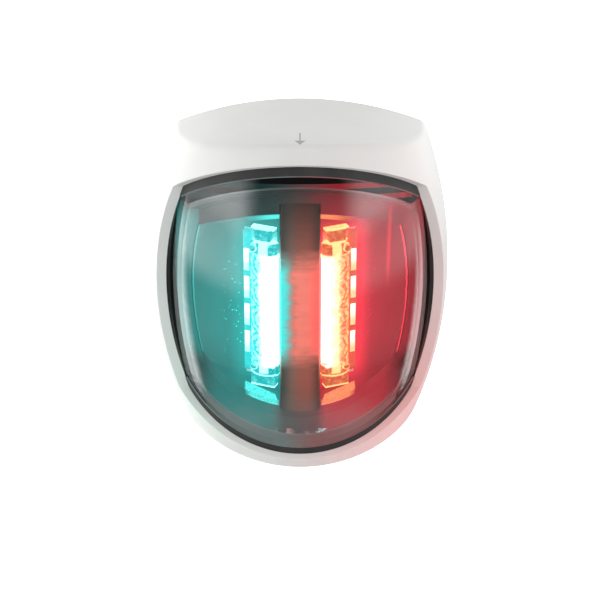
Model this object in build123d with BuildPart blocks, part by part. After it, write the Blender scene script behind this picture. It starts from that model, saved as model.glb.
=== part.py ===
from build123d import *
import math
import os

# Combined port and starboard navigation light, wall mounted.
# Millimetres. +Z up, the wall is the plane Y = 0 and the light looks along -Y.
# "Depth" below means the distance in front of the wall, so Y = -depth.
# Origin: centre of the fixing holes on the wall face.

# ---- housing ----
WIDTH = 71.8  # across the widest part, at mid-height
HEIGHT = 84.0  # over the crowns of the arched ends
BULGE = 105.0  # radius of the barrel's profile
AXIS_D = 2.8  # depth of the axis of the housing's and the lens's barrels
ARCH = 77.6  # radius of the arched top and bottom
WALL = 2.2
BACK_GAP = 0.4  # housing rim to wall
EDGE_ROUND = 2.4
CORNER_D, CORNER_Z = 16.7, 26.6  # corner of the lens opening, seen from the side
LIP_D = 13.6  # depth of the opening's side edge at mid-height
SLOPE = 0.777  # rise of the opening's upper edge per unit of depth

# ---- lens and its gasket ----
LENS_R = 32.7
LENS_BULGE = 140.0
LENS_WALL, LENS_END = 2.2, 1.4  # thickness of the curved wall and of the sloping ends
LENS_BACK_D = 9.8
LENS_Z = 23.9  # half-height of the lens skirt
GASKET_R, GASKET_BULGE = 33.2, 130.0  # barrel of the gasket's face, deeper set at the corners
GASKET_IN_R, GASKET_IN_BULGE = 27.0, 206.0  # its inner face, about an axis on the wall
SEAT_GAP = 0.05  # between the lens and its gasket
FRONT_D = 46.0  # anything in front of the light

# ---- shade frame and light bays ----
FRAME_R = 28.7  # about an axis on the wall
FRAME_BULGE = 207.5
FRAME_Z = 21.8
FLANGE_GAP, FLANGE_D = 0.2, 12.0  # flange that fills the lens skirt: its clearance and its depth
FRAME_LIP = 1.0  # thickness of the lips along the lens's sloping ends
POST_HALF = 4.6  # half-width of the centre divider
BAY_D = 25.2  # depth of the bay's back wall beside the divider
BAY_END = 26.0  # outer end of the back wall, from the centre plane
CUTOFF = 22.5  # sweep of the bay's back wall, degrees
BAY_TOP, BAY_TOP_D = 24.9, 28.3  # half-height of the bay at its front edge, and that edge's depth
BAY_SLOPE = 0.69
DISH_X, DISH_DEEP = 13.6, 3.0  # the back wall is dished outboard of here, by this much at its outer end
DISH_Z = 18.0  # half-height of the dish
UNIT_X = 7.7  # light unit, from the centre plane
UNIT_D = BAY_D - math.tan(math.radians(CUTOFF)) * (UNIT_X - POST_HALF)  # bay's back wall there

# ---- light units ----
ROD_HALF, ROD_BACK, ROD_SIDE, ROD_DEEP = 3.3, 0.3, 1.3, 2.9
ROD_LOW, ROD_HIGH = -20.5, 20.3
LED_PITCH, LED_MID, LED_SIZE = 7.1, 0.7, 3.0
BOARD_T, BOARD_HALF_Z = 1.0, 19.0
BOARD_IN, BOARD_OUT = -2.8, 5.4
STRIP_IN, STRIP_OUT = 3.5, 5.1

# ---- rear parts ----
COVER_D, COVER_T, COVER_Z = 7.0, 2.2, 33.2
SCREW_X, SCREW_Z = 20.0, 30.2
PLATE_D, PLATE_T, PLATE_X, PLATE_Z = 1.0, 2.2, 22.0, 33.4
FIX_PITCH, FIX_R = 44.0, 2.2
CABLE_R, GLAND_BORE = 7.0, 3.0
LUG_X, LUG_T, LUG_D = 12.0, 2.0, 8.6

# ---- lock screw ----
LOCK_D, LOCK_R = 6.2, 1.95
SEAT_Z = -38.9
LOCK_TIP_Z = -(PLATE_Z + 0.1)


def barrel(radius, bulge, mode=Mode.ADD, axis_d=AXIS_D):
    """A barrel round an upright axis: its profile is an arc of radius bulge, widest at mid-height."""
    half = 46.0
    end = math.sqrt(bulge**2 - half**2) - (bulge - radius)
    with BuildSketch(Plane.XZ.offset(axis_d)) as profile:
        with BuildLine():
            ThreePointArc((end, -half), (radius, 0), (end, half))
            Polyline((end, half), (0, half), (0, -half), (end, -half))
        make_face()
    revolve(profile.sketch, axis=Axis((0, -axis_d, 0), (0, 0, 1)), mode=mode)


def side_prism(points, mode=Mode.ADD, half_width=45.0):
    """A bar along X whose outline is given as (depth, height) and repeated below mid-height."""
    outline = [(-d, z) for d, z in points]
    with BuildSketch(Plane.YZ) as profile:
        with BuildLine():
            Polyline(*outline, *[(y, -z) for y, z in reversed(outline)], close=True)
        make_face()
    extrude(profile.sketch, amount=half_width, both=True, mode=mode)


def plan_prism(points, half_height, mode=Mode.ADD):
    """A bar along Z whose outline is given as (x, depth)."""
    with BuildSketch(Plane.XY) as profile:
        with BuildLine():
            Polyline(*[(x, -d) for x, d in points], close=True)
        make_face()
    extrude(profile.sketch, amount=half_height, both=True, mode=mode)


def slab(x0, x1, d0, d1, z0, z1, mode=Mode.ADD):
    """A rectangular block between the given limits."""
    with BuildSketch(Plane.XZ.offset(d0)) as profile:
        with BuildLine():
            Polyline((x0, z0), (x1, z0), (x1, z1), (x0, z1), close=True)
        make_face()
    extrude(profile.sketch, amount=d1 - d0, mode=mode)


def arched(half_height, arch, d0, d1, mode=Mode.ADD):
    """A block along the depth with arched top and bottom."""
    half = 44.0
    low = half_height - arch + math.sqrt(arch**2 - half**2)
    with BuildSketch(Plane.XZ.offset(d0)) as profile:
        with BuildLine():
            ThreePointArc((-half, low), (0, half_height), (half, low))
            Line((half, low), (half, -low))
            ThreePointArc((half, -low), (0, -half_height), (-half, -low))
            Line((-half, -low), (-half, low))
        make_face()
    extrude(profile.sketch, amount=d1 - d0, mode=mode)


def sloped(depth, start_z, slope=SLOPE, start_d=CORNER_D):
    """Height of a sloping edge at the given depth."""
    return start_z + slope * (depth - start_d)


def wall_depth(x, shift=0.0):
    """Depth of the bay's back wall, or of a wall behind it, at distance x from the centre plane."""
    return BAY_D - math.tan(math.radians(CUTOFF)) * (x - POST_HALF) + shift


def unit_plane(z=0.0):
    """Plan-view plane of the starboard light unit: x runs out along the bay's back wall, y points forward."""
    a = math.radians(CUTOFF)
    return Plane(origin=(-UNIT_X, -UNIT_D, z), x_dir=(-math.cos(a), math.sin(a), 0), z_dir=(0, 0, 1))


def unit_block(u0, u1, n0, n1, z0, z1, mode=Mode.ADD):
    """A block beside the starboard bay's back wall: u outward along it, n forward from it."""
    with BuildSketch(unit_plane(z0)) as profile:
        with BuildLine():
            Polyline((u0, n0), (u1, n0), (u1, n1), (u0, n1), close=True)
        make_face()
    extrude(profile.sketch, amount=z1 - z0, mode=mode)


def mirrored(source):
    """Adds the port-side copy of a starboard piece."""
    mirror(source.part, about=Plane.YZ)


cos_up = math.sqrt(1 + SLOPE**2)  # vertical distance per unit of distance square to the sloping edge

# ---- housing ----
with BuildPart() as housing_cavity:
    barrel(WIDTH / 2 - WALL, BULGE - WALL)
    arched(HEIGHT / 2 - WALL, ARCH - WALL, -1.0, FRONT_D, mode=Mode.INTERSECT)

with BuildPart() as opening:
    with BuildSketch(Plane.YZ):
        with BuildLine():
            front_z = sloped(FRONT_D, CORNER_Z)
            ThreePointArc((-CORNER_D, CORNER_Z), (-LIP_D, 0), (-CORNER_D, -CORNER_Z))
            Polyline(
                (-CORNER_D, -CORNER_Z), (-FRONT_D, -front_z), (-FRONT_D, front_z), (-CORNER_D, CORNER_Z)
            )
        make_face()
        fillet(vertices().filter_by(lambda v: v.X > -CORNER_D - 1), 1.2)
    extrude(amount=45, both=True)

with BuildPart() as corner_posts:
    for sx in (-1, 1):
        for sz in (-1, 1):
            with BuildSketch(Plane.XZ.offset(COVER_D + COVER_T)):
                with Locations((sx * SCREW_X, sz * SCREW_Z)):
                    Circle(2.9)
                with Locations((sx * (SCREW_X + 5), sz * (SCREW_Z + 0.2))):
                    Rectangle(10, 2.4)
            extrude(amount=5.2)
    barrel(WIDTH / 2 - 1.0, BULGE - 1.0, mode=Mode.INTERSECT)

with BuildPart() as housing:
    barrel(WIDTH / 2, BULGE)
    arched(HEIGHT / 2, ARCH, BACK_GAP, FRONT_D, mode=Mode.INTERSECT)
    rim = [e for e in edges() if abs(e.center().Z) > 30 and e.center().Y < -BACK_GAP - 1]
    fillet(rim, EDGE_ROUND)
    add(housing_cavity.part, mode=Mode.SUBTRACT)
    add(opening.part, mode=Mode.SUBTRACT)
    add(corner_posts.part)
    # rail above the bracket's top lug
    slab(-13, 13, 0.8, 9.2, PLATE_Z + 0.3, HEIGHT / 2 - WALL + 0.5)
    # boss for the lock screw
    with BuildSketch(Plane.XY.offset(-40.6)):
        with Locations((0, -LOCK_D)):
            Circle(5.4)
    extrude(amount=5.0)
    with Locations(Plane(origin=(0, -LOCK_D, -HEIGHT / 2 - 0.5), z_dir=(0, 0, -1))):
        Hole(2.9, 10)
        Cylinder(
            4.3, HEIGHT / 2 + 0.5 + SEAT_Z, align=(Align.CENTER, Align.CENTER, Align.MAX), mode=Mode.SUBTRACT
        )
    # threaded holes for the back cover screws
    with BuildSketch(Plane.XZ.offset(COVER_D + COVER_T)):
        with GridLocations(2 * SCREW_X, 2 * SCREW_Z, 2, 2):
            Circle(1.25)
    extrude(amount=4.4, mode=Mode.SUBTRACT)

# ---- lens: a cup with a barrel front and straight-sided skirt, open to the rear ----
lens_front = sloped(FRONT_D, LENS_Z)
lens_outline = [(LENS_BACK_D, LENS_Z), (CORNER_D, LENS_Z), (FRONT_D, lens_front)]
inner_z = LENS_Z - LENS_END
inner_start = CORNER_D + (LENS_Z - LENS_END * cos_up - inner_z) / -SLOPE
inner_outline = [(0, inner_z), (inner_start, inner_z), (FRONT_D, inner_z + SLOPE * (FRONT_D - inner_start))]

with BuildPart() as lens_solid:
    barrel(LENS_R, LENS_BULGE)
    side_prism(lens_outline, mode=Mode.INTERSECT)

with BuildPart() as lens_hollow:
    barrel(LENS_R - LENS_WALL, LENS_BULGE - LENS_WALL)
    side_prism(inner_outline, mode=Mode.INTERSECT)

with BuildPart() as lens:
    add(lens_solid.part)
    add(lens_hollow.part, mode=Mode.SUBTRACT)

# ---- lens gasket: a ring between the lens and the housing ----
seat_z = LENS_Z + SEAT_GAP
seat_outline = [(0, seat_z), (CORNER_D, seat_z), (FRONT_D, sloped(FRONT_D, seat_z))]

with BuildPart() as lens_seat:
    barrel(LENS_R + SEAT_GAP, LENS_BULGE + SEAT_GAP)
    side_prism(seat_outline, mode=Mode.INTERSECT)

with BuildPart() as gasket_ends:
    barrel(GASKET_R, GASKET_BULGE)
    side_prism(
        [(LENS_BACK_D, CORNER_Z), (CORNER_D, CORNER_Z), (FRONT_D, front_z)], mode=Mode.INTERSECT
    )
    side_prism(seat_outline, mode=Mode.SUBTRACT)

with BuildPart() as lens_gasket:
    with BuildSketch(Plane.YZ):
        with BuildLine():
            ThreePointArc((-CORNER_D + 0.4, CORNER_Z), (-LIP_D + 0.4, 0), (-CORNER_D + 0.4, -CORNER_Z))
            Polyline(
                (-CORNER_D + 0.4, -CORNER_Z), (-LENS_BACK_D, -CORNER_Z),
                (-LENS_BACK_D, CORNER_Z), (-CORNER_D + 0.4, CORNER_Z),
            )
        make_face()
    extrude(amount=45, both=True)
    barrel(WIDTH / 2 - WALL, BULGE - WALL, mode=Mode.INTERSECT)
    add(gasket_ends.part)
    barrel(GASKET_IN_R, GASKET_IN_BULGE, mode=Mode.SUBTRACT, axis_d=0)
    add(lens_seat.part, mode=Mode.SUBTRACT)
    add(housing.part, mode=Mode.SUBTRACT)

# ---- starboard light bay, as the space cut from the shade frame ----
with BuildPart() as light_bay:
    plan_prism(
        [
            (-POST_HALF, BAY_D), (-BAY_END, wall_depth(BAY_END)), (-BAY_END - 9, FRONT_D),
            (-POST_HALF, FRONT_D),
        ],
        40,
    )
    for z, deep in ((-DISH_Z, 0.05), (0, DISH_DEEP), (DISH_Z, 0.05)):
        with BuildSketch(Plane.XY.offset(z)):
            with BuildLine():
                Polyline(
                    (-DISH_X, -wall_depth(DISH_X)), (-BAY_END, deep - wall_depth(BAY_END)),
                    (-BAY_END, -wall_depth(BAY_END) - 1), (-DISH_X, -wall_depth(DISH_X) - 1), close=True,
                )
            make_face()
    loft()
    side_prism(
        [
            (9, sloped(9, BAY_TOP, BAY_SLOPE, BAY_TOP_D)),
            (FRONT_D, sloped(FRONT_D, BAY_TOP, BAY_SLOPE, BAY_TOP_D)),
        ],
        mode=Mode.INTERSECT,
    )

# ---- space behind the bays for the heat spreader and the driver ----
REAR_N = -2.6  # rear hollow's front wall, from the bay's back wall
NOSE = 4.0  # half-width of the flat nose of the rear hollow
SIDE = 20.0  # half-width of the rear hollow
rear_shift = REAR_N / math.cos(math.radians(CUTOFF))

with BuildPart() as rear_hollow:
    plan_prism(
        [
            (-SIDE, 9), (-SIDE, wall_depth(SIDE, rear_shift)), (-NOSE, wall_depth(NOSE, rear_shift)),
            (NOSE, wall_depth(NOSE, rear_shift)), (SIDE, wall_depth(SIDE, rear_shift)), (SIDE, 9),
        ],
        17.6,
    )
    slab(-21.4, 21.4, 9, 12.8, -18.6, 18.6)

with BuildPart() as divider_space:
    slab(-POST_HALF, POST_HALF, 23.9, FRONT_D, -30, 30)
    side_prism([(9, 14.9), (23.4, 24.6), (FRONT_D, 40.0)], mode=Mode.INTERSECT)

with BuildPart() as board_space:
    unit_block(BOARD_IN, BOARD_OUT, REAR_N - 1, 0, -BOARD_HALF_Z, BOARD_HALF_Z)

# rear flange of the shade frame, and its lips that reach forward to the lens
lip_z = FRAME_Z - FRAME_LIP
with BuildPart() as shade_rim:
    barrel(LENS_R - LENS_WALL - FLANGE_GAP, LENS_BULGE - LENS_WALL - FLANGE_GAP)
    side_prism(
        [(FLANGE_D, lip_z), (CORNER_D, lip_z), (FRONT_D, sloped(FRONT_D, lip_z))], mode=Mode.SUBTRACT
    )

with BuildPart() as shade_frame:
    barrel(FRAME_R, FRAME_BULGE, axis_d=0)
    add(shade_rim.part)
    side_prism(
        [(LENS_BACK_D, FRAME_Z), (CORNER_D, FRAME_Z), (FRONT_D, sloped(FRONT_D, FRAME_Z))],
        mode=Mode.INTERSECT,
    )
    for space in (light_bay, board_space):
        add(space.part, mode=Mode.SUBTRACT)
        mirror(space.part, about=Plane.YZ, mode=Mode.SUBTRACT)
    add(rear_hollow.part, mode=Mode.SUBTRACT)
    add(divider_space.part, mode=Mode.SUBTRACT)

with BuildPart() as centre_divider:
    add(divider_space.part)
    barrel(FRAME_R, FRAME_BULGE, mode=Mode.INTERSECT, axis_d=0)
    nose = edges().filter_by(lambda e: e.center().Y < -27 and abs(abs(e.center().X) - POST_HALF) < 0.1)
    fillet(nose, 0.8)

# ---- starboard light unit ----
led_heights = [LED_MID + (i - 1.5) * LED_PITCH for i in range(4)]

with BuildPart() as led_board_starboard:
    unit_block(BOARD_IN, BOARD_OUT, -0.2 - BOARD_T, -0.2, -BOARD_HALF_Z, BOARD_HALF_Z)

with BuildPart() as leds_starboard:
    for z in led_heights:
        unit_block(-1.9, 1.1, -0.2, 0.2, z - LED_SIZE / 2, z + LED_SIZE / 2)

with BuildPart() as light_rod_starboard:
    # D-shaped bar
    with BuildSketch(unit_plane(-18.6)):
        with BuildLine():
            ThreePointArc((-ROD_HALF, ROD_SIDE), (0, ROD_DEEP), (ROD_HALF, ROD_SIDE))
            Polyline(
                (ROD_HALF, ROD_SIDE), (ROD_HALF, ROD_BACK), (-ROD_HALF, ROD_BACK), (-ROD_HALF, ROD_SIDE)
            )
        make_face()
    extrude(amount=17.0 + 18.6)
    shoulders = edges().group_by(Axis.Z)[-1].filter_by(lambda e: e.center().Z > 16.9)
    chamfer(shoulders.sort_by(Axis.Y)[0:1], 1.2)
    # neck and head against the bay's ceiling, foot against its floor
    unit_block(-1.9, 1.9, ROD_BACK, 2.2, 16.5, 20.0)
    unit_block(-2.8, 2.8, ROD_BACK, 1.9, 19.2, ROD_HIGH)
    unit_block(-2.9, 2.9, ROD_BACK, 2.4, ROD_LOW, -18.0)
    # collars above and below the lit length, with locating pins
    for z0 in (12.8, -17.4):
        unit_block(-ROD_HALF - 0.12, ROD_HALF + 0.12, ROD_BACK, 1.6, z0, z0 + 0.9)
    for z in (15.2, -15.4):
        a = math.radians(CUTOFF)
        pin = Plane(
            origin=unit_plane(z).from_local_coords((2.1, 0.6, 0)), z_dir=(-math.sin(a), -math.cos(a), 0)
        )
        with BuildSketch(pin):
            Circle(0.8)
        extrude(amount=2.4)
        unit_block(-3.0, -1.6, 1.2, 2.8, z - 0.9, z + 0.9)

with BuildPart() as window_strip_starboard:
    unit_block(STRIP_IN, STRIP_OUT, 0.05, 1.3, -17.4, 18.6)
    for z in led_heights:
        unit_block(STRIP_IN + 0.25, STRIP_OUT - 0.25, -1, 2, z - 2.8, z + 2.8, mode=Mode.SUBTRACT)

# ---- port light unit ----
with BuildPart() as led_board_port:
    mirrored(led_board_starboard)

with BuildPart() as leds_port:
    mirrored(leds_starboard)

with BuildPart() as light_rod_port:
    mirrored(light_rod_starboard)

with BuildPart() as window_strip_port:
    mirrored(window_strip_starboard)

# ---- heat spreader: a bent plate with a raised pad behind each LED board ----
PIN_XS, PIN_Z = (9.2, 11.2), 16.0
with BuildPart() as spreader_pad:
    unit_block(BOARD_IN, BOARD_OUT, REAR_N, -0.2 - BOARD_T, -17.4, 17.4)

with BuildPart() as heat_spreader:
    plan_prism(
        [
            (-19.5, wall_depth(19.5, rear_shift)), (-NOSE, wall_depth(NOSE, rear_shift)),
            (NOSE, wall_depth(NOSE, rear_shift)), (19.5, wall_depth(19.5, rear_shift)),
            (19.5, wall_depth(19.5, rear_shift) - 1.6), (NOSE, wall_depth(NOSE, rear_shift) - 1.6),
            (-NOSE, wall_depth(NOSE, rear_shift) - 1.6), (-19.5, wall_depth(19.5, rear_shift) - 1.6),
        ],
        17.4,
    )
    add(spreader_pad.part)
    mirror(spreader_pad.part, about=Plane.YZ)
    with BuildSketch(Plane.XZ.offset(9)):
        with Locations(*[(s * x, PIN_Z) for s in (-1, 1) for x in PIN_XS]):
            Circle(0.85)
    extrude(amount=14, mode=Mode.SUBTRACT)

# ---- driver board and its parts ----
BOARD_BACK_D, DRIVER_T = 11.2, 1.6
PARTS_D = BOARD_BACK_D + DRIVER_T
with BuildPart() as driver_board:
    slab(-21.2, 21.2, BOARD_BACK_D, PARTS_D, -18.4, 18.4)
    with BuildSketch(Plane.XZ.offset(BOARD_BACK_D)):
        with Locations(*[(s * x, PIN_Z) for s in (-1, 1) for x in PIN_XS]):
            Circle(0.35)
        with GridLocations(36, 30, 2, 2):
            Circle(1.0)
    extrude(amount=DRIVER_T, mode=Mode.SUBTRACT)

with BuildPart() as driver_inductor:
    with BuildSketch(Plane.XZ.offset(PARTS_D)):
        RectangleRounded(7.4, 7.4, 1.2)
    extrude(amount=0.8)
    with BuildSketch(Plane.XZ.offset(PARTS_D + 0.8)):
        Circle(2.6)
    extrude(amount=2.2)
    with BuildSketch(Plane.XZ.offset(PARTS_D + 3.0)):
        Circle(3.6)
    extrude(amount=0.8)

with BuildPart() as driver_capacitors:
    with BuildSketch(Plane.XZ.offset(PARTS_D)):
        with Locations((-8.0, -8.5), (8.0, -8.5)):
            Circle(2.5)
    extrude(amount=3.2)
    fillet(faces().filter_by(Axis.Y).sort_by(Axis.Y)[0:2].edges(), 0.5)

with BuildPart() as driver_chips:
    with BuildSketch(Plane.XZ.offset(PARTS_D)):
        with Locations((0, 9.0)):
            Rectangle(5.0, 4.0)
        with Locations((-13.0, 3.0), (13.0, 3.0)):
            Rectangle(3.0, 4.6)
        with Locations((-14.5, -3.5), (14.5, -3.5), (0, -12.5)):
            Rectangle(2.0, 1.3)
    extrude(amount=1.1)

with BuildPart() as jumper_pins:
    with BuildSketch(Plane.XZ.offset(BOARD_BACK_D - 0.6)):
        with Locations(*[(s * x, PIN_Z) for s in (-1, 1) for x in PIN_XS]):
            Circle(0.35)
    extrude(amount=11)
    plan_prism(
        [
            (-SIDE, 9), (-SIDE, wall_depth(SIDE, -1.3)), (-NOSE, wall_depth(NOSE, -1.3)),
            (NOSE, wall_depth(NOSE, -1.3)), (SIDE, wall_depth(SIDE, -1.3)), (SIDE, 9),
        ],
        20,
        mode=Mode.INTERSECT,
    )

# ---- back cover, its seal and screws ----
with BuildPart() as back_cover:
    barrel(WIDTH / 2 - WALL - 0.3, BULGE - WALL - 0.3)
    slab(-40, 40, COVER_D, COVER_D + COVER_T, -COVER_Z, COVER_Z, mode=Mode.INTERSECT)
    for s in (-1, 1):
        z0, z1 = sorted((s * 31.0, s * 36.0))
        slab(-13.5, 13.5, COVER_D - 1, COVER_D + COVER_T + 1, z0, z1, mode=Mode.SUBTRACT)
    # stiffening ribs on the rear face
    for x in (-16.0, 16.0):
        slab(x - 0.7, x + 0.7, COVER_D - 1.2, COVER_D, -24, 24)
    with BuildSketch(Plane.XZ.offset(COVER_D - 2)):
        with GridLocations(2 * SCREW_X, 2 * SCREW_Z, 2, 2):
            Circle(1.25)
        Circle(5.0)
    extrude(amount=6, mode=Mode.SUBTRACT)

with BuildPart() as back_cover_seal:
    barrel(WIDTH / 2 - WALL - 0.3, BULGE - WALL - 0.3)
    seal_z = CORNER_Z + 0.4
    slab(-40, 40, COVER_D + COVER_T, LENS_BACK_D, -seal_z, seal_z, mode=Mode.INTERSECT)
    slab(-21.6, 21.6, 8, 11, -18.8, 18.8, mode=Mode.SUBTRACT)

with BuildPart() as back_cover_screws:
    with BuildSketch(Plane.XZ.offset(COVER_D)):
        with GridLocations(2 * SCREW_X, 2 * SCREW_Z, 2, 2):
            Circle(1.25)
    extrude(amount=6.2)
    with BuildSketch(Plane.XZ.offset(COVER_D - 1.5)):
        with GridLocations(2 * SCREW_X, 2 * SCREW_Z, 2, 2):
            Circle(2.3)
    extrude(amount=1.5)
    fillet(faces().filter_by(Axis.Y).group_by(Axis.Y)[-1].edges(), 0.5)
    with BuildSketch(Plane.XZ.offset(COVER_D - 1.5)):
        with GridLocations(2 * SCREW_X, 2 * SCREW_Z, 2, 2):
            Rectangle(2.6, 0.6)
            Rectangle(0.6, 2.6)
    extrude(amount=0.8, mode=Mode.SUBTRACT)

# ---- cable gland ----
GLAND_REAR_D, GLAND_FRONT_D = 3.6, 10.4
with BuildPart() as cable_gland:
    with BuildSketch(Plane.YZ):
        with BuildLine():
            Polyline(
                (-GLAND_REAR_D, GLAND_BORE), (-GLAND_REAR_D, 4.6), (-5.4, 5.4), (-5.4, 7.4), (-COVER_D, 7.4),
                (-COVER_D, 5.0), (-COVER_D - COVER_T, 5.0), (-COVER_D - COVER_T, 5.9),
                (-GLAND_FRONT_D, 5.2), (-GLAND_FRONT_D, GLAND_BORE), close=True,
            )
        make_face()
    revolve(axis=Axis.Y)

# ---- lock screw insert ----
INSERT_TOP = -35.6
with BuildPart() as screw_insert:
    with BuildSketch(Plane.XY.offset(SEAT_Z)):
        with Locations((0, -LOCK_D)):
            Circle(2.9)
            Circle(LOCK_R + 0.05, mode=Mode.SUBTRACT)
    extrude(amount=INSERT_TOP - SEAT_Z)

# ---- lock washer and lock screw ----
WASHER_T, HEAD_T = 0.7, 2.0
with BuildPart() as lock_washer:
    with BuildSketch(Plane.XY.offset(SEAT_Z - 0.02)):
        with Locations((0, -LOCK_D)):
            Circle(3.8)
            Circle(LOCK_R + 0.05, mode=Mode.SUBTRACT)
    extrude(amount=-WASHER_T)

with BuildPart() as lock_screw:
    head_top = SEAT_Z - WASHER_T - 0.04
    with BuildSketch(Plane.XY.offset(head_top)):
        with Locations((0, -LOCK_D)):
            Circle(3.7)
    extrude(amount=-HEAD_T)
    fillet(edges().group_by(Axis.Z)[0], 0.6)
    with BuildSketch(Plane.XY.offset(head_top)):
        with Locations((0, -LOCK_D)):
            Circle(LOCK_R)
    extrude(amount=LOCK_TIP_Z - head_top)
    chamfer(edges().group_by(Axis.Z)[-1], 0.4)
    # hexagon socket
    with BuildSketch(Plane.XY.offset(head_top - HEAD_T)):
        with Locations((0, -LOCK_D)):
            RegularPolygon(1.25, 6, major_radius=False)
    extrude(amount=1.3, mode=Mode.SUBTRACT)

# ---- wall bracket: plate with an upper and a lower lug ----
with BuildPart() as wall_bracket:
    with BuildSketch(Plane.XZ.offset(PLATE_D)):
        Rectangle(2 * PLATE_X, 2 * PLATE_Z)
        fillet(vertices(), 5.0)
    extrude(amount=PLATE_T)
    for s in (-1, 1):
        z0, z1 = sorted((s * (PLATE_Z - LUG_T), s * PLATE_Z))
        slab(-LUG_X, LUG_X, PLATE_D + PLATE_T, LUG_D, z0, z1)
        # gussets beside each lug
        for x in (-9.0, 9.0):
            with BuildSketch(Plane.YZ.offset(x - 0.8)):
                with BuildLine():
                    Polyline(
                        (-PLATE_D - PLATE_T, s * (PLATE_Z - LUG_T)), (-6.4, s * (PLATE_Z - LUG_T)),
                        (-PLATE_D - PLATE_T, s * (PLATE_Z - LUG_T - 3.2)), close=True,
                    )
                make_face()
            extrude(amount=1.6)
    with BuildSketch(Plane.XZ.offset(PLATE_D - 1)):
        Circle(CABLE_R)
        with GridLocations(0, FIX_PITCH, 1, 2):
            Circle(FIX_R)
        with GridLocations(28, 22, 2, 2):
            SlotOverall(9, 5, rotation=90)
    extrude(amount=PLATE_T + 2, mode=Mode.SUBTRACT)

with BuildPart() as bracket_gasket:
    with BuildSketch(Plane.XZ):
        Rectangle(2 * PLATE_X, 2 * PLATE_Z)
        fillet(vertices(), 5.0)
        Circle(CABLE_R, mode=Mode.SUBTRACT)
        with GridLocations(0, FIX_PITCH, 1, 2):
            Circle(FIX_R, mode=Mode.SUBTRACT)
    extrude(amount=PLATE_D)

# ---- labels and files ----
os.makedirs("parts", exist_ok=True)
nodes = {
    "wall_bracket": wall_bracket,
    "bracket_gasket": bracket_gasket,
    "housing": housing,
    "lens": lens,
    "lens_gasket": lens_gasket,
    "shade_frame": shade_frame,
    "centre_divider": centre_divider,
    "light_rod_starboard": light_rod_starboard,
    "light_rod_port": light_rod_port,
    "window_strip_starboard": window_strip_starboard,
    "window_strip_port": window_strip_port,
    "leds_starboard": leds_starboard,
    "leds_port": leds_port,
    "led_board_starboard": led_board_starboard,
    "led_board_port": led_board_port,
    "heat_spreader": heat_spreader,
    "driver_board": driver_board,
    "driver_inductor": driver_inductor,
    "driver_capacitors": driver_capacitors,
    "driver_chips": driver_chips,
    "jumper_pins": jumper_pins,
    "back_cover": back_cover,
    "back_cover_seal": back_cover_seal,
    "back_cover_screws": back_cover_screws,
    "cable_gland": cable_gland,
    "screw_insert": screw_insert,
    "lock_washer": lock_washer,
    "lock_screw": lock_screw,
}
for label, piece in nodes.items():
    piece.part.label = label
    export_step(piece.part, f"parts/{label}.step")
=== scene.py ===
import math
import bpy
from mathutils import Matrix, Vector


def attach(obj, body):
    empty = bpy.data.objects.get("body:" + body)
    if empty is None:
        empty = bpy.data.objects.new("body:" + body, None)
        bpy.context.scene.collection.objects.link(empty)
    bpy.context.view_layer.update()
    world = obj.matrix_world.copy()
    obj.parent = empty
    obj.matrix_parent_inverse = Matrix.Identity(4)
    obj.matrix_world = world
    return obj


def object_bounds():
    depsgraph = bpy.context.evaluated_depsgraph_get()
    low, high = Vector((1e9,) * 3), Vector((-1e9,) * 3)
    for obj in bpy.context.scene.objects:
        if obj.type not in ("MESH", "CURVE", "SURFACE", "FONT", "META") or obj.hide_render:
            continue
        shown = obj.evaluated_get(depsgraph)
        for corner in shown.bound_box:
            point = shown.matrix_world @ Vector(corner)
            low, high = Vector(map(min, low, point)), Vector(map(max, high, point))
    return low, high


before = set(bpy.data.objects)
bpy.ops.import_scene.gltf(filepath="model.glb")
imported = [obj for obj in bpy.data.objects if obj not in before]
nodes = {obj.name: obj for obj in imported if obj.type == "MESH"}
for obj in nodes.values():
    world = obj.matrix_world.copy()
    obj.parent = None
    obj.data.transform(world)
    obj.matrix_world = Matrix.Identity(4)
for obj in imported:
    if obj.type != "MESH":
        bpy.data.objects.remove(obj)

from types import SimpleNamespace

import bmesh
import bpy
from mathutils import Matrix, Vector

cad_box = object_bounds()
scene = bpy.context.scene
scene.view_settings.view_transform = "Standard"
MM = 0.001

# Colours are linear. STARBOARD and PORT say which way along X a light unit faces.
WHITE, BLACK = (1, 1, 1), (0, 0, 0)
GREEN_LIGHT, RED_LIGHT = (0.010, 0.64, 0.60), (1.32, 0.045, 0.085)
RUBBER, RUBBER_BLOOM = (0.022, 0.022, 0.022), (0.040, 0.039, 0.037)
STARBOARD, PORT = -1.0, 1.0

# Measures of the lamp are in millimetres, and depths count forward from the wall.
BAY_TOP, BAY_TOP_D, BAY_SLOPE = 24.9, 28.3, 0.69  # half-height of a bay at its front edge, its depth, its rise
EDGE_X, EDGE_BOW, EDGE_Z = 22.7, 2.4, 18.0  # outer edge of a bay at its ends, its bow, half-height of the bow
UNIT_X, UNIT_D = 7.7, 23.92  # middle of a light unit
TURN = math.radians(22.5)  # sweep of a bay's back wall
LED_LOW, LED_PITCH, LED_COUNT = -9.95, 7.1, 4
LENS_Z, FRAME_Z, LENS_SLOPE, CORNER_D = 23.9, 21.8, 0.777, 16.7  # sloping ends of the lens and the frame


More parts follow.
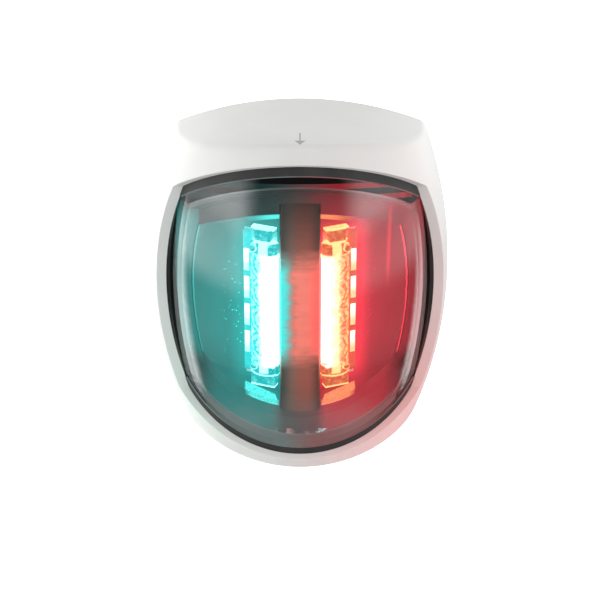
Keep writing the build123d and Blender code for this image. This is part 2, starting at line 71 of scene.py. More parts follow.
class Shader:
    """The node tree of a material or of the world, with short calls for the nodes used here."""

    def __init__(self, name, world=False):
        self.owner = (bpy.data.worlds if world else bpy.data.materials).new(name)
        self.owner.use_nodes = True
        self.tree = self.owner.node_tree
        self.tree.nodes.clear()
        self.out = self.add("OutputWorld" if world else "OutputMaterial")
        self.coord = self.add("TexCoord").outputs["Generated" if world else "Object"]

    def add(self, kind, inputs=None, **settings):
        node = self.tree.nodes.new("ShaderNode" + kind)
        for key, value in settings.items():
            setattr(node, key, value)
        for key, value in (inputs or {}).items():
            if isinstance(value, bpy.types.NodeSocket):
                self.tree.links.new(value, node.inputs[key])
            elif value is not None:
                node.inputs[key].default_value = value
        return node

    def math(self, operation, a, b=None):
        return self.add("Math", {0: a, 1: b}, operation=operation).outputs[0]

    def product(self, *values):
        result = values[0]
        for value in values[1:]:
            result = self.math("MULTIPLY", result, value)
        return result

    def total(self, *values):
        result = values[0]
        for value in values[1:]:
            result = self.math("ADD", result, value)
        return result

    def less(self, a, b):
        return self.math("SUBTRACT", a, b)

    def largest(self, a, b):
        return self.math("MAXIMUM", a, b)

    def size(self, value):
        return self.math("ABSOLUTE", value)

    def square(self, value):
        return self.math("POWER", value, 2.0)

    def line(self, value, slope, shift):
        return self.total(self.product(value, slope), shift)

    def axis(self, name):
        return self.add("SeparateXYZ", {0: self.coord}).outputs[name]

    def place(self):
        """Distances to port of the middle, forward of the wall, and up, in millimetres."""
        x, y, z = (self.product(self.axis(name), 1 / MM) for name in "XYZ")
        return x, self.product(y, -1.0), z

    def step(self, value, none, full):
        """0 at none, 1 at full, smooth between and level beyond; either may be the greater."""
        limits = {"Value": value, "From Min": none, "From Max": full}
        return self.add("MapRange", limits, interpolation_type="SMOOTHSTEP").outputs[0]

    def band(self, value, low, high, soft):
        """1 between low and high, falling to 0 within soft on either side."""
        up = self.step(value, low - soft, low + soft)
        down = self.step(value, high + soft, high - soft)
        return self.product(up, down)

    def between(self, value, low, high):
        """A value of 0 to 1 spread over low to high."""
        return self.add("MapRange", {"Value": value, "To Min": low, "To Max": high}).outputs[0]

    def noise(self, scale, detail, rough, stretch=(1, 1, 1)):
        """Soft random variation; scale counts its waves in a metre."""
        vector = self.add("Mapping", {"Vector": self.coord, "Scale": stretch}).outputs[0]
        node = self.add("TexNoise", {"Vector": vector, "Scale": scale, "Detail": detail, "Roughness": rough})
        return node.outputs[0]

    def cells(self, scale):
        """Distance from the middle of random cells; scale counts them along a metre."""
        return self.add("TexVoronoi", {"Vector": self.coord, "Scale": scale}).outputs["Distance"]

    def mix(self, factor, a, b, blend="MIX"):
        node = self.add("Mix", data_type="RGBA", blend_type=blend)
        for key, value in ((0, factor), (6, a), (7, b)):
            if isinstance(value, bpy.types.NodeSocket):
                self.tree.links.new(value, node.inputs[key])
            else:
                node.inputs[key].default_value = value if key == 0 else rgba(value)
        return node.outputs[2]

    def bump(self, height, strength, microns):
        relief = {"Height": height, "Strength": strength, "Distance": microns * MM * MM}
        return self.add("Bump", relief).outputs[0]

    def principled(self, colour, rough, normal, glow=None, level=None, **more):
        inputs = {"Base Color": colour, "Roughness": rough, "Normal": normal,
                  "Emission Color": glow, "Emission Strength": level}
        inputs.update({key.replace("_", " "): value for key, value in more.items()})
        return self.add("BsdfPrincipled", inputs)

    def by_ray(self, kind, usual, special):
        """One shader for most rays and another for rays of one kind."""
        ray = self.add("LightPath").outputs[kind]
        return self.add("MixShader", {0: ray, 1: usual.outputs[0], 2: special.outputs[0]})

    def finish(self, shader):
        """Ends the tree with this shader, and gives back the material or world."""
        self.tree.links.new(shader.outputs[0], self.out.inputs[0])
        return self.owner

    def surface(self, *values, **more):
        return self.finish(self.principled(*values, **more))


def dress(name, material):
    """Gives a CAD node its material."""
    slots = nodes[name].data.materials
    for i in range(len(slots)):
        slots[i] = material


def rgba(colour):
    return (*colour, 1.0)


# ---- finishes shared by several pieces ----
def plain(name, colour, worn, rough, grain):
    """Moulded or cast finish: fine grain in the relief, cloudy gloss, and a second tint in patches and scuffs."""
    s = Shader(name)
    cloud, speck = s.noise(70, 4, 0.6), s.noise(grain, 2, 0.5)
    tint = s.mix(s.step(cloud, 0.42, 0.72), colour, worn)
    scuff = s.step(s.noise(260, 5, 0.7, (1, 1, 5)), 0.60, 0.70)
    gloss = s.total(s.between(cloud, *rough), s.product(scuff, 0.08))
    return s.surface(tint, gloss, s.bump(speck, 0.5, 40))


def brushed(name, colour, along):
    """Bare metal with fine lines drawn out along one axis."""
    s = Shader(name)
    lines, cloud = s.noise(700, 4, 0.7, along), s.noise(110, 3, 0.6)
    dark = tuple(0.78 * c for c in colour)
    tint = s.mix(s.step(cloud, 0.4, 0.75), colour, dark)
    return s.surface(tint, s.between(lines, 0.22, 0.42), s.bump(lines, 0.25, 30), Metallic=1.0)


# ---- housing: white powder coat ----
ARROW_TAIL, ARROW_TIP, SHAFT_END = 22.0, 28.8, 1.4  # depths of the arrow's ends; its shaft stops short of the tip
SHAFT_HALF = (0.20, 0.12)  # half the shaft's width, with a soft edge
HEAD_LONG, HEAD_SLOPE = 2.4, 0.55  # the arrow's head, and its half-width for each millimetre of length
FOOT_Z, TOP_Z = (-30.0, -42.0), (37.0, 38.0)  # heights over which the coat darkens towards the foot, and where the top face starts
RIM_D, RIM_Z = (8.0, 18.0), (24.0, -22.0)  # the rim catches light ahead of this depth, and more towards the foot
GREEN_RIM_X, RED_RIM_X = (-6.0, -30.0), (-8.0, 26.0)  # where each painted light starts and is full


def printed_arrow(s):
    """A plain arrow on the top face, pointing forward."""
    x, deep, z = s.place()
    width = s.size(x)
    shaft = s.product(s.band(deep, ARROW_TAIL, ARROW_TIP - SHAFT_END, 0.05), s.step(width, *SHAFT_HALF))
    to_tip = s.line(deep, -HEAD_SLOPE, HEAD_SLOPE * ARROW_TIP)
    head = s.product(
        s.step(to_tip, 0.0, 0.02), s.step(s.less(width, to_tip), 0.06, -0.06),
        s.step(deep, ARROW_TIP - HEAD_LONG, ARROW_TIP - HEAD_LONG + 0.2),
    )
    return s.product(s.step(z, *TOP_Z), s.largest(shaft, head))


def light_on_rim(s):
    """How far the rim beside each bay catches that bay's light: starboard, port."""
    x, deep, z = s.place()
    facing = s.add("SeparateXYZ", {0: s.add("TexCoord").outputs["Normal"]})
    inner_floor = s.product(s.step(facing.outputs["Y"], -0.45, -0.25), s.step(facing.outputs["Z"], 0.4, 0.6))
    front = s.product(s.step(deep, *RIM_D), s.less(1.0, inner_floor))
    low = s.between(s.step(z, *RIM_Z), 0.12, 1.0)
    return s.product(s.step(x, *GREEN_RIM_X), front, low), s.product(s.step(x, *RED_RIM_X), front, low)


def powder_coat():
    s = Shader("white_powder_coat")
    orange_peel, fine, cloud = s.noise(1500, 2, 0.5), s.noise(5200, 1, 0.5), s.noise(45, 3, 0.6)
    colour = s.mix(s.step(cloud, 0.35, 0.75), (0.80, 0.80, 0.785), (0.755, 0.755, 0.735))
    # the coat is darker in patches towards the foot of the casting
    foot = s.step(s.place()[2], *FOOT_Z)
    foot_darkening = s.product(foot, s.step(s.noise(120, 4, 0.7), 0.45, 0.75), 0.25)
    colour = s.mix(foot_darkening, colour, (0.52, 0.50, 0.46))
    starboard, port = light_on_rim(s)
    # painted light from the bays on the rim: a green and a red glow, and a pinker base colour where the red light
    # falls
    green, red = s.mix(starboard, BLACK, (0.0, 0.075, 0.05)), s.mix(port, BLACK, (0.24, 0.0, 0.0))
    colour = s.mix(s.product(port, 0.75), colour, (0.66, 0.50, 0.49))
    colour = s.mix(s.product(printed_arrow(s), 0.8), colour, (0.30, 0.29, 0.28))
    height = s.total(orange_peel, s.product(fine, 0.4))
    return s.surface(
        colour, s.between(cloud, 0.42, 0.56), s.bump(height, 0.35, 30), s.mix(1.0, green, red, "ADD"), 1.0
    )


# ---- lens: clear acrylic, with smudges and a little dust ----
def clear_lens():
    s = Shader("clear_acrylic_lens")
    smudge = s.step(s.noise(90, 5, 0.65), 0.52, 0.78)
    dust = s.product(s.step(s.cells(1500), 0.10, 0.05), s.step(s.noise(420, 2, 0.5), 0.56, 0.64))
    rough = s.total(s.product(smudge, 0.03), s.product(dust, 0.25))
    ripple = s.bump(s.noise(160, 2, 0.5), 0.03, 10)
    glass = s.principled(rgba((0.97, 0.985, 0.98)), rough, ripple, IOR=1.49, Transmission_Weight=1.0)
    return s.finish(s.by_ray("Is Shadow Ray", glass, s.add("BsdfTransparent")))


# ---- dark moulding behind the lens, lit green on one side and red on the other ----
INTO_RED, STRAY_INTO_RED = (-4.0, 3.0), (-9.0, 8.0)  # green turns to red over these stretches of X
FLOOR_X, FLOOR_D = 4.6, 25.2  # a point on the line where a bay's lit floor begins
PATCH_X, PATCH_D, PATCH_SLOPE = 4.75, 28.0, 0.42  # the inner side of the lit floor, and how it leans
PATCH_END_X = (13.0, 12.6)  # outer end of the lit floor
FLOOR_Z, LIP_Z, LIP_X, LIP_D = (-16.0, -18.0), (16.0, 18.0), (14.5, 5.5), 29.0  # floor, lit upper lip, lips' front
SPILL_X, SPILL_Z, SPILL_D = (5.0, 12.8), (-18.0, -20.0), (24.0, 25.0)
WALL_X, WALL_Z = (24, 10), (24, 9)  # the back wall is faint at the first distance and full at the second
HALO_X, HALO_Z = (17.5, 12.0), (24, 16)
LINE_Z = (20.5, 15.0)
DUST_X, DUST_Z = (13.4, 17.5), (-15, 12)
STREAK_X, STREAK_Z = (20.0, 20.7), (4, 22)
UPPER, LOWER = (0, 8), (0, -8)  # heights over which a face counts as above or below the middle
# Strengths to starboard and to port. Those in the last line don't differ; the sparkle's are dull and bright.
WALL_LEVEL, HALO_LEVEL, LINE_LEVEL, DUST_LEVEL = (0.50, 0.44), (0.55, 1.25), (0.55, 0.9), (2.2, 0.5)
ABOVE_LEVEL, BELOW_LEVEL, ASIDE_LEVEL = (0.045, 0.24), (0.30, 0.36), (0.38, 0.30)
SPARKLE_LEVEL, LIP_LEVEL, STREAK_LEVEL, GLINT_LEVEL = (1.4, 3.1), 2.4, 0.35, 0.9


def moulding(s, colour, worn, glow, level):
    """The dark moulding's own surface, with light added to it."""
    grain, flow = s.noise(2600, 2, 0.5), s.noise(90, 4, 0.6, (1, 1, 0.35))
    tint = s.mix(s.step(flow, 0.4, 0.7), colour, worn)
    return s.surface(tint, s.between(flow, 0.42, 0.6), s.bump(grain, 0.12, 10), glow, level)


def bay_measures(s):
    """Where a point lies: off the middle, past a bay's ceiling or floor (over), past its outer edge (beyond)."""
    x, deep, z = s.place()
    away, tall = s.size(x), s.size(z)
    over = s.less(tall, s.line(deep, BAY_SLOPE, BAY_TOP - BAY_TOP_D * BAY_SLOPE))
    bow = s.largest(s.line(s.square(s.product(z, 1 / EDGE_Z)), -EDGE_BOW, EDGE_BOW), 0.0)
    beyond = s.less(away, s.total(bow, EDGE_X))
    within = s.product(s.step(over, 0.25, 0.05), s.step(beyond, 0.1, -0.15))
    return SimpleNamespace(
        x=x, deep=deep, z=z, away=away, tall=tall, over=over, beyond=beyond, within=within,
        port=s.step(x, *INTO_RED), stray=s.step(x, *STRAY_INTO_RED),
    )


def light_on_walls(s, at):
    """Even light on a bay's back wall, fading to its ends, and brighter beside the rod and strip."""
    cloud = s.noise(130, 4, 0.6, (1, 1, 0.5))
    wall = s.product(
        at.within, s.between(s.step(at.tall, *WALL_Z), 0.62, 1.0), s.between(s.step(at.away, *WALL_X), 0.80, 1.12),
        s.between(cloud, 0.86, 1.12), s.between(at.port, *WALL_LEVEL),
    )
    halo = s.product(
        at.within, s.step(at.away, *HALO_X), s.step(at.tall, *HALO_Z), s.between(at.port, *HALO_LEVEL), 0.45
    )
    return wall, halo


def light_on_floor(s, at):
    """A bright, finely sparkling patch in front of each rod, which spills over the floor's front edge."""
    ahead = s.total(at.deep, s.line(at.away, math.tan(TURN), -FLOOR_D - FLOOR_X * math.tan(TURN)))
    beside = s.less(at.away, s.line(at.deep, -PATCH_SLOPE, PATCH_X + PATCH_SLOPE * PATCH_D))
    on_floor = s.product(
        s.step(at.z, *FLOOR_Z), s.band(at.over, -0.3, 0.2, 0.08), s.step(at.away, *PATCH_END_X),
        s.step(ahead, 0.75, 1.05), s.step(beside, -0.1, 0.15),
    )
    spill = s.product(
        s.step(at.z, *SPILL_Z), s.band(at.over, 0.1, 1.7, 0.12), s.band(at.away, *SPILL_X, 0.25),
        s.step(at.deep, *SPILL_D), 0.9,
    )
    sparkle = s.between(s.step(s.noise(3800, 2, 0.7), 0.38, 0.62), *SPARKLE_LEVEL)
    return s.product(s.largest(on_floor, spill), sparkle)


def light_on_details(s, at):
    """The thin lit line down a bay's outer edge, dust specks beside the strips painted glowing in the bay's light,
    and a faint painted streak of light to port.
    """
    line = s.product(
        s.band(at.beyond, -0.30, 0.05, 0.12), s.step(at.over, 0.3, 0.0), s.step(at.tall, *LINE_Z),
        s.between(at.port, *LINE_LEVEL),
    )
    # dust specks, painted as glowing in the bay's light
    dust = s.product(
        s.step(s.cells(1150), 0.22, 0.12), s.band(at.away, *DUST_X, 1.5), s.band(at.z, *DUST_Z, 4),
        s.between(at.port, *DUST_LEVEL), s.step(s.noise(700, 2, 0.6), 0.44, 0.54),
    )
    streak = s.product(s.band(at.x, *STREAK_X, 0.5), s.band(at.z, *STREAK_Z, 5), STREAK_LEVEL)
    return line, dust, streak


def light_outside(s, at, outside):
    """Stray light on the faces above, below and outboard of the bays."""
    upper, lower = s.step(at.z, *UPPER), s.step(at.z, *LOWER)
    above = s.product(upper, s.step(at.tall, 36, 22), s.between(at.stray, *ABOVE_LEVEL))
    fall = s.between(s.step(at.tall, 34, 25), 0.45, 1.0)
    below = s.product(lower, fall, s.step(at.away, 27, 18), s.between(at.port, *BELOW_LEVEL))
    aside = s.product(s.step(at.beyond, 0.1, 0.4), s.step(at.tall, 24, 15), s.between(at.port, *ASIDE_LEVEL))
    # less reaches the lower faces next to the post
    flank = s.largest(s.between(s.step(at.away, 3.6, 6.5), 0.30, 1.0), upper)
    return s.product(outside, flank, s.largest(s.total(above, below), aside))


def shade_bays():
    s = Shader("shade_moulding")
    at = bay_measures(s)
    wall, halo = light_on_walls(s, at)
    patch = light_on_floor(s, at)
    lip = s.product(s.step(at.z, *LIP_Z), s.band(at.over, -0.35, 0.30, 0.1), s.step(at.away, *LIP_X), LIP_LEVEL)
    level = s.largest(s.total(wall, halo, patch, *light_on_details(s, at)), lip)
    outside = s.largest(s.step(at.over, 0.05, 0.25), s.step(at.beyond, 0.1, 0.4))
    level = s.total(level, light_outside(s, at, outside))
    glow = s.mix(outside, s.mix(at.port, GREEN_LIGHT, RED_LIGHT), s.mix(at.stray, GREEN_LIGHT, RED_LIGHT))
    # painted light on the face of the lips against the lens's sloping ends, seen by reflection inside them
    to_lens = s.less(at.tall, s.line(at.deep, LENS_SLOPE, FRAME_Z - CORNER_D * LENS_SLOPE))
    rim = s.product(s.step(to_lens, -0.25, -0.08), s.step(at.deep, 17, 20))
    glow = s.mix(rim, glow, s.mix(at.stray, (0.50, 0.60, 0.58), (1.0, 0.34, 0.34)))
    level = s.total(level, s.product(rim, s.between(s.step(at.away, 4, 12), 0.05, 0.13)))
    # the lit floor and the lip over the rod have a hotter hue
    brightest = s.largest(s.step(patch, 0.2, 1.0), s.step(lip, 0.3, 1.2))
    glow = s.mix(brightest, glow, s.mix(at.port, (0.035, 0.40, 0.38), (0.50, 0.115, 0.05)))
    # glints of the other side's light along the lower lip
    glint = s.product(
        s.step(at.deep, LIP_D - 0.1, LIP_D + 0.1), s.step(at.z, *LOWER), s.band(at.away, 2.5, 14, 2),
        s.step(s.noise(420, 3, 0.6), 0.48, 0.60),
    )
    glow = s.mix(glint, glow, s.mix(at.port, (1.0, 0.09, 0.07), (0.03, 0.80, 0.78)))
    level = s.total(level, s.product(glint, GLINT_LEVEL))
    return moulding(s, (0.028, 0.029, 0.029), (0.020, 0.020, 0.020), glow, level)


POST_HALF = 4.2  # half the width of the post's nose
RAYS_Z, RAYS_END = 0.4, (16.5, 8.5)  # middle of the lit stretch, and the distances from it of no light and full
INTO_CRIMSON, DIP_X = (-3.4, -0.9), (-2.9, -1.2)  # where the rays turn red, and the dimmer place there
WEAK_Z, WEAK_END = -3.0, (35.5, 12)  # middle and reach of the weak light over the whole post


def shade_post():
    """The post's nose is lit by scattered light, in fine rays, and its sides directly."""
    s = Shader("shade_post")
    x, _, z = s.place()
    away = s.size(x)
    ray = s.noise(480, 4, 0.72, (0.22, 0.22, 1))
    wisp = s.less(ray, 0.5)
    zone = s.step(s.less(s.size(s.total(z, -RAYS_Z)), s.product(wisp, 6.0)), *RAYS_END)
    edge = s.total(x, s.product(wisp, 5.0))
    crimson = s.step(edge, *INTO_CRIMSON)
    red = s.mix(s.step(x, 0.5, 4.0), (1.0, 0.235, 0.18), (1.05, 0.13, 0.11))
    dusk = s.mix(s.step(x, -4.4, 1.0), (0.36, 0.40, 0.34), (1.0, 0.27, 0.19))
    hue = s.mix(zone, dusk, s.mix(crimson, (0.07, 0.80, 0.75), red))
    dip = s.less(1.0, s.product(s.band(edge, *DIP_X, 0.9), 0.45))
    near = s.between(s.step(away, 1.0, 4.6), 0.66, 1.05)
    strong = s.product(zone, near, dip, s.between(ray, 0.80, 1.16))
    sides = s.product(
        s.step(away, POST_HALF, POST_HALF + 0.3), s.band(z, -16, 16, 4), s.between(crimson, 1.3, 0.75)
    )
    weak = s.product(
        s.step(s.size(s.total(z, -WEAK_Z)), *WEAK_END), s.between(ray, 0.26, 0.38),
        s.between(s.step(away, 5.2, 1.5), 0.25, 1.0),
    )
    return moulding(s, (0.030, 0.027, 0.025), (0.020, 0.018, 0.017), hue, s.total(strong, sides, weak))


# ---- light rods: clear acrylic bars full of light ----
LIT_EDGES = ((13.4, 13.8), (16.4, 17.1), (19.9, 20.4), (-15.0, -14.6), (-17.6, -17.2), (-20.6, -20.1))  # heights
TAB_U, TAB_Z = (-1.5, 0.7), (13.6, 16.9)  # along the unit, and off the middle
BOSS_U, BOSS_Z, BOSS_RING = 2.1, 15.3, (0.75, 1.0)  # middle of the boss, and the radii of its lit ring
BAR_Z = (-14.9, 13.6)  # ends of the stretch between the collars
CORE_U, HEART_U = (1.5, -0.5), (0.2, -2.4)  # the light is hot inboard of these, and white in its heart
SWIRL_U, SWIRL_TURNS, SWIRL_WARP = -0.4, 4.6, 11.0  # middle of the swirls, how close they lie, how bent they are
STARBOARD_ROD = ((0.0, 0.72, 0.74), (0.50, 1.0, 1.0), (0.9, 1.0, 1.0))  # dark, middle and hot hues of the painted light in the rod
PORT_ROD = ((1.0, 0.17, 0.07), (1.0, 0.62, 0.24), (1.0, 0.86, 0.46))


def along_unit(s, side):
    """Distance outward along the light unit from its middle, in millimetres."""
    x, deep, _ = s.place()
    outward, back = s.line(x, side, -UNIT_X), s.line(deep, -1.0, UNIT_D)
    return s.total(s.product(outward, math.cos(TURN)), s.product(back, math.sin(TURN)))


def up_the_leds(s, z):
    """Runs from 0 to 1 past each LED, with 0.5 at its middle."""
    return s.math("FRACT", s.line(z, 1 / LED_PITCH, 0.5 - LED_LOW / LED_PITCH))


def end_glints(s, u, z):
    """Where the clear ends of a rod catch light, as painted glints: along the edges, on the tab and round the
    boss.
    """
    edges = [s.band(z, low, high, 0.18) for low, high in LIT_EDGES]
    tall = s.size(z)
    tab = s.product(s.band(u, *TAB_U, 0.25), s.band(tall, *TAB_Z, 0.3))
    across, along = s.square(s.total(u, -BOSS_U)), s.square(s.total(tall, -BOSS_Z))
    boss = s.band(s.math("SQRT", s.total(across, along)), *BOSS_RING, 0.15)
    mottle = s.step(s.noise(900, 3, 0.7), 0.42, 0.70)
    return s.math("MINIMUM", s.total(*edges, tab, boss, s.product(mottle, 0.35)), 1.0)


def lit_rod(name, side, hues, strength):
    s = Shader(name)
    dark, middle, hot = hues
    u, z = along_unit(s, side), s.place()[2]
    bend = s.less(s.noise(700, 3, 0.7), 0.5)
    bar = s.band(s.total(z, s.product(bend, 3.0)), *BAR_Z, 0.7)
    core = s.step(s.total(u, s.product(bend, 3.2)), *CORE_U)
    heart = s.step(s.total(u, s.product(bend, 4.0)), *HEART_U)
    # painted swirls of light round each LED
    row = s.product(s.less(up_the_leds(s, z), 0.5), LED_PITCH)
    reach = s.math("SQRT", s.total(s.square(s.total(u, -SWIRL_U)), s.square(row)))
    swirl = s.math("SINE", s.total(s.product(reach, SWIRL_TURNS), s.product(bend, SWIRL_WARP)))
    facet = s.noise(1500, 4, 0.75)
    spark = s.step(s.total(s.product(swirl, 0.12), facet), 0.42, 0.64)
    # collars and dome: clear, with light only along their edges
    rim = end_glints(s, u, z)
    lit_core = s.mix(heart, hot, (1.0, 0.98, 0.90))
    glow = s.mix(bar, s.mix(rim, dark, middle), s.mix(core, s.mix(spark, dark, middle), lit_core))
    power = s.between(s.largest(core, s.product(spark, 0.25)), 0.95, strength)
    clear = s.product(s.less(1.0, bar), s.between(rim, 0.50, 1.45))
    # the base colour too takes the rod's light hue, as painted light
    return s.surface(
        s.mix(facet, (0.05, 0.06, 0.06), dark), s.between(facet, 0.06, 0.20), s.bump(facet, 0.5, 150),
        glow, s.total(s.product(bar, power), clear),
    )


# ---- slotted strips, and the lit panes in their windows ----
STRIP_Z = (-17.8, 19.5)  # ends of a strip's lit stretch
PANE, PANE_EDGE = (1.50, 0.96, 5.75), 0.12  # a pane across the strip, through it and upward; its rounded edge
PANE_OUT, PANE_AHEAD = 4.3, 0.90  # middle of the panes, outboard and ahead of a light unit's middle


def strip(name, hue, power):
    s = Shader(name)
    grain = s.noise(1200, 3, 0.6)
    # painted light: the strip glows in its bay's light hue along its lit stretch
    level = s.product(s.band(s.place()[2], *STRIP_Z, 2), s.between(grain, 0.75 * power, 1.2 * power))
    tint = s.mix(grain, (0.05, 0.05, 0.05), (0.08, 0.08, 0.08))
    return s.surface(tint, s.between(grain, 0.4, 0.6), s.bump(grain, 0.4, 40), rgba(hue), level)


def lit_pane(name, low, high):
    """Frosted pane, brightest at the top of each window."""
    s = Shader(name)
    frost = s.noise(2400, 3, 0.7)
    rise = s.step(s.total(up_the_leds(s, s.place()[2]), s.line(frost, 0.3, -0.15)), 0.25, 0.62)
    return s.surface(
        s.mix(frost, (0.6, 0.6, 0.6), (0.72, 0.72, 0.72)), s.between(frost, 0.3, 0.55), s.bump(frost, 0.4, 50),
        s.mix(rise, low, high), s.between(frost, 1.05, 1.35),
    )


def panes(name, side, material):
    """Four bevelled panes, one in each window of a strip."""
    mesh = bpy.data.meshes.new(name)
    bm = bmesh.new()
    out = Vector((side * math.cos(TURN), math.sin(TURN), 0))
    front = Vector((side * math.sin(TURN), -math.cos(TURN), 0))
    turn = Matrix((out, front, (0, 0, 1))).transposed().to_4x4()
    middle = Vector((side * UNIT_X, -UNIT_D, 0)) + PANE_OUT * out + PANE_AHEAD * front
    for i in range(LED_COUNT):
        place = Matrix.Translation(middle + Vector((0, 0, LED_LOW + i * LED_PITCH)))
        bmesh.ops.create_cube(bm, size=1.0, matrix=place @ turn @ Matrix.Diagonal((*PANE, 1)))
    bmesh.ops.bevel(bm, geom=list(bm.edges), offset=PANE_EDGE, segments=2, affect="EDGES")
    bmesh.ops.scale(bm, vec=(MM, MM, MM), verts=bm.verts)
    bmesh.ops.recalc_face_normals(bm, faces=bm.faces)
    bm.to_mesh(mesh)
    bm.free()
    mesh.materials.append(material)
    obj = bpy.data.objects.new(name, mesh)
    scene.collection.objects.link(obj)
    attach(obj, "lamp")


# ---- LEDs and boards ----
def led_chip(name, hue):
    """Phosphor under clear resin, shining."""
    s = Shader(name)
    grain = s.cells(2600)
    return s.surface(
        s.mix(grain, (0.8, 0.75, 0.3), hue), s.between(grain, 0.2, 0.4), s.bump(grain, 0.3, 50),
        s.mix(grain, WHITE, hue), 3.0,
    )


def led_mask(name, hue):
    """White solder mask, lit by the LEDs on it."""
    s = Shader(name)
    weave = s.noise(1900, 2, 0.5, (1, 1, 0.5))
    return s.surface(
        s.mix(weave, (0.70, 0.70, 0.68), (0.80, 0.80, 0.78)), s.between(weave, 0.25, 0.42),
        s.bump(weave, 0.3, 30), rgba(hue), s.between(weave, 0.4, 0.6),
    )


def circuit_board():
    """Green solder mask over glass weave, with copper areas showing through."""
    s = Shader("circuit_board_mask")
    weave = s.product(*(
        s.add("TexWave", {"Vector": s.coord, "Scale": 900.0}, bands_direction=way).outputs[1] for way in "XZ"
    ))
    traces = s.step(s.cells(210), 0.42, 0.46)
    colour = s.mix(traces, (0.012, 0.075, 0.030), (0.020, 0.115, 0.045))
    height = s.total(s.product(weave, 0.3), traces)
    return s.surface(colour, s.between(weave, 0.25, 0.42), s.bump(height, 0.4, 50))


# ---- lens gasket: black rubber, lit from within where it lies under the lens ----
def seal_under_lens():
    s = Shader("lens_gasket_rubber")
    x, deep, z = s.place()
    grain, flow = s.noise(1600, 2, 0.5), s.noise(80, 4, 0.6)
    under = s.less(s.size(z), s.line(deep, LENS_SLOPE, LENS_Z - CORNER_D * LENS_SLOPE))
    seat = s.product(s.step(under, 0.30, 0.15), s.step(deep, 13, 17))
    return s.surface(
        s.mix(s.step(flow, 0.42, 0.72), RUBBER, RUBBER_BLOOM), s.between(flow, 0.5, 0.75),
        s.bump(grain, 0.5, 40), s.mix(s.step(x, -5.0, 5.0), (0.14, 0.20, 0.19), (0.30, 0.09, 0.09)),
        s.product(seat, s.between(flow, 0.5, 0.9)),
    )


# ---- every CAD node gets its material ----
rubber = plain("black_rubber_seal", RUBBER, RUBBER_BLOOM, (0.5, 0.75), 1600)
brass = brushed("turned_brass", (0.80, 0.60, 0.28), (1, 1, 0.2))
steel = brushed("stainless_steel", (0.66, 0.66, 0.65), (1, 0.15, 1))
for name, material in {
    "housing": powder_coat(),
    "lens": clear_lens(),
    "lens_gasket": seal_under_lens(),
    "shade_frame": shade_bays(),
    "centre_divider": shade_post(),
    "light_rod_starboard": lit_rod("lit_rod_green", STARBOARD, STARBOARD_ROD, 1.7),
    "light_rod_port": lit_rod("lit_rod_red", PORT, PORT_ROD, 1.35),
    "window_strip_starboard": strip("slotted_strip_lit_green", (0.0, 0.72, 0.72), 1.15),
    "window_strip_port": strip("slotted_strip_lit_red", (1.0, 0.10, 0.05), 0.95),
    "leds_starboard": led_chip("led_chip_green", (0.1, 1.0, 0.8)),
    "leds_port": led_chip("led_chip_red", (1.0, 0.1, 0.05)),
    "led_board_starboard": led_mask("led_mask_lit_green", (0.0, 0.62, 0.60)),
    "led_board_port": led_mask("led_mask_lit_red", (1.0, 0.06, 0.05)),
    "heat_spreader": brushed("rolled_aluminium", (0.78, 0.79, 0.80), (1, 1, 0.08)),
    "driver_board": circuit_board(),
    "driver_inductor": plain("wound_ferrite", (0.045, 0.043, 0.042), (0.075, 0.07, 0.066), (0.55, 0.75), 2200),
    "driver_capacitors": brushed("can_sleeve_aluminium", (0.70, 0.71, 0.73), (1, 0.1, 1)),
    "driver_chips": plain("chip_epoxy", (0.018, 0.018, 0.02), (0.035, 0.035, 0.036), (0.45, 0.6), 2600),
    "jumper_pins": brass,
    "back_cover": plain("cover_moulding", (0.055, 0.056, 0.058), (0.085, 0.085, 0.085), (0.42, 0.6), 1200),
    "back_cover_seal": rubber,
    "back_cover_screws": steel,
    "cable_gland": rubber,
    "screw_insert": brass,
    "lock_screw": steel,
    "lock_washer": plain("washer_nylon", (0.74, 0.73, 0.68), (0.60, 0.58, 0.52), (0.35, 0.5), 900),
    "wall_bracket": plain("bracket_moulding", (0.62, 0.62, 0.60), (0.50, 0.50, 0.48), (0.45, 0.62), 1100),
    "bracket_gasket": rubber,
}.items():
    dress(name, material)
panes("lit_panes_starboard", STARBOARD, lit_pane("lit_pane_green", (0.28, 0.95, 0.95), (1.0, 1.0, 1.0)))
panes("lit_panes_port", PORT, lit_pane("lit_pane_red", (1.0, 0.40, 0.10), (1.0, 0.92, 0.74)))


# ---- floor, lights, surroundings, camera: from here on lengths are in metres ----
FLOOR_HALF, FLOOR_DROP = 4.0, 0.45  # low enough to leave room for a view from below


def studio_floor():
    s = Shader("pale_floor")
    grain = s.noise(30, 3, 0.5)
    seen = s.add("LightPath").outputs["Is Camera Ray"]
    material = s.surface(
        s.mix(grain, (0.86, 0.86, 0.86), (0.90, 0.90, 0.90)), s.between(grain, 0.7, 0.9),
        s.bump(grain, 0.05, 1000), rgba(WHITE), s.between(seen, 0.05, 1.0),
    )
    mesh = bpy.data.meshes.new("studio_floor")
    bm = bmesh.new()
    bmesh.ops.create_grid(bm, x_segments=1, y_segments=1, size=FLOOR_HALF)
    bm.to_mesh(mesh)
    bm.free()
    mesh.materials.append(material)
    obj = bpy.data.objects.new("studio_floor", mesh)
    obj.location.z = cad_box[0].z - FLOOR_DROP
    obj.visible_glossy = False
    obj.visible_transmission = False
    scene.collection.objects.link(obj)


def point(obj, back):
    """Turns a lamp or camera to look against the direction back."""
    obj.rotation_euler = (-back).to_track_quat("-Z", "Y").to_euler()


def light(name, place, size, power):
    """Rectangular lamp aimed at the middle of the light; it leaves no mirror image."""
    data = bpy.data.lights.new(name, "AREA")
    data.shape = "RECTANGLE"
    data.size, data.size_y = size
    data.energy = power
    obj = bpy.data.objects.new(name, data)
    obj.location = place
    point(obj, Vector(place) - Vector((0, -0.015, 0)))
    obj.visible_glossy = False
    obj.visible_camera = False
    obj.visible_transmission = False
    scene.collection.objects.link(obj)


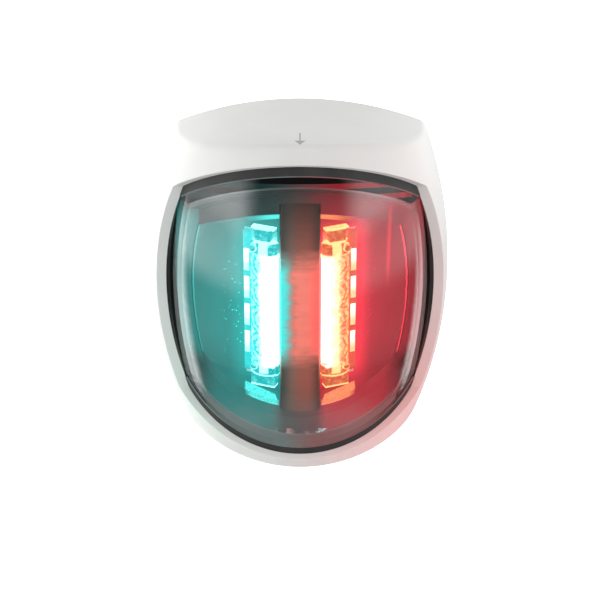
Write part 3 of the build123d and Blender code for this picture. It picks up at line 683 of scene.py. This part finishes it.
# the studio's walls and panels, as angles in degrees from straight ahead; the rest as heights on a unit sphere
WALL_START = (34, 60)
LEFT_PANEL, RIGHT_PANEL = (117, 158, 5), (121, 136, 4)  # start, end, softness
LOW, SKIRTING, OVERHEAD, BENEATH = (-0.32, -0.41), (-0.22, -0.08), (0.10, 0.30), (-0.68, -0.80)
LEFT_LEVEL, RIGHT_LEVEL, GAP_LEVEL, WALL_MORE, PANEL_LEVEL = 1.34, 0.60, 0.16, 1.8, 1.8
LOW_SHARE, BENEATH_LEVEL, OVERHEAD_LEVEL = 0.10, 0.7, 0.62


def surroundings():
    """A white studio: bright at the sides and above, with a dark gap in front, and plain white behind."""
    s = Shader("studio", world=True)
    x, y, z = s.axis("X"), s.axis("Y"), s.axis("Z")
    turn = s.size(s.math("ARCTAN2", x, s.product(y, -1.0)))
    left, right = s.step(x, 0.1, -0.1), s.step(x, -0.1, 0.1)
    walls = s.step(turn, *(math.radians(angle) for angle in WALL_START))
    # a brighter panel behind on either side
    panels = s.total(*(
        s.product(side, s.band(turn, *(math.radians(angle) for angle in panel)))
        for side, panel in ((left, LEFT_PANEL), (right, RIGHT_PANEL))
    ))
    level = s.total(s.product(walls, s.between(right, LEFT_LEVEL, RIGHT_LEVEL)), GAP_LEVEL)
    level = s.total(level, s.product(walls, s.step(z, *SKIRTING), WALL_MORE))
    level = s.product(level, s.between(s.step(z, *LOW), 1.0, LOW_SHARE))
    level = s.total(level, s.product(panels, PANEL_LEVEL), s.product(s.step(z, *BENEATH), BENEATH_LEVEL))
    overhead = s.step(z, *OVERHEAD)
    level = s.total(s.product(level, s.between(overhead, 1.0, 0.0)), s.product(overhead, OVERHEAD_LEVEL))
    reflected = s.add("Background", {"Color": rgba(WHITE), "Strength": level})
    white = s.add("Background", {"Color": rgba(WHITE), "Strength": 1.0})
    scene.world = s.finish(s.by_ray("Is Camera Ray", reflected, white))


studio_floor()
for name, place, size, power in (
    ("key_above", (0.0, -0.50, 0.76), (0.9, 0.7), 1.45),
    ("fill_left", (-0.75, -0.45, 0.15), (0.7, 0.9), 0.36),
    ("fill_right", (0.75, -0.45, 0.15), (0.7, 0.9), 0.3),
    ("fill_front", (0.0, -0.95, 0.25), (0.9, 0.6), 0.5),
):
    light(name, place, size, power)
surroundings()

ELEVATION, DISTANCE = math.radians(27), 0.476
AIM = Vector((0, -0.017, -0.00283))
FOCAL_LENGTH, SENSOR_WIDTH = 120, 36  # millimetres
camera = bpy.data.objects.new("camera", bpy.data.cameras.new("camera"))
camera.data.lens = FOCAL_LENGTH
camera.data.sensor_width = SENSOR_WIDTH
camera.data.clip_start, camera.data.clip_end = 0.01, 20
back = Vector((0, -math.cos(ELEVATION), math.sin(ELEVATION)))
camera.location = AIM + back * DISTANCE
point(camera, back)
scene.collection.objects.link(camera)
scene.camera = camera
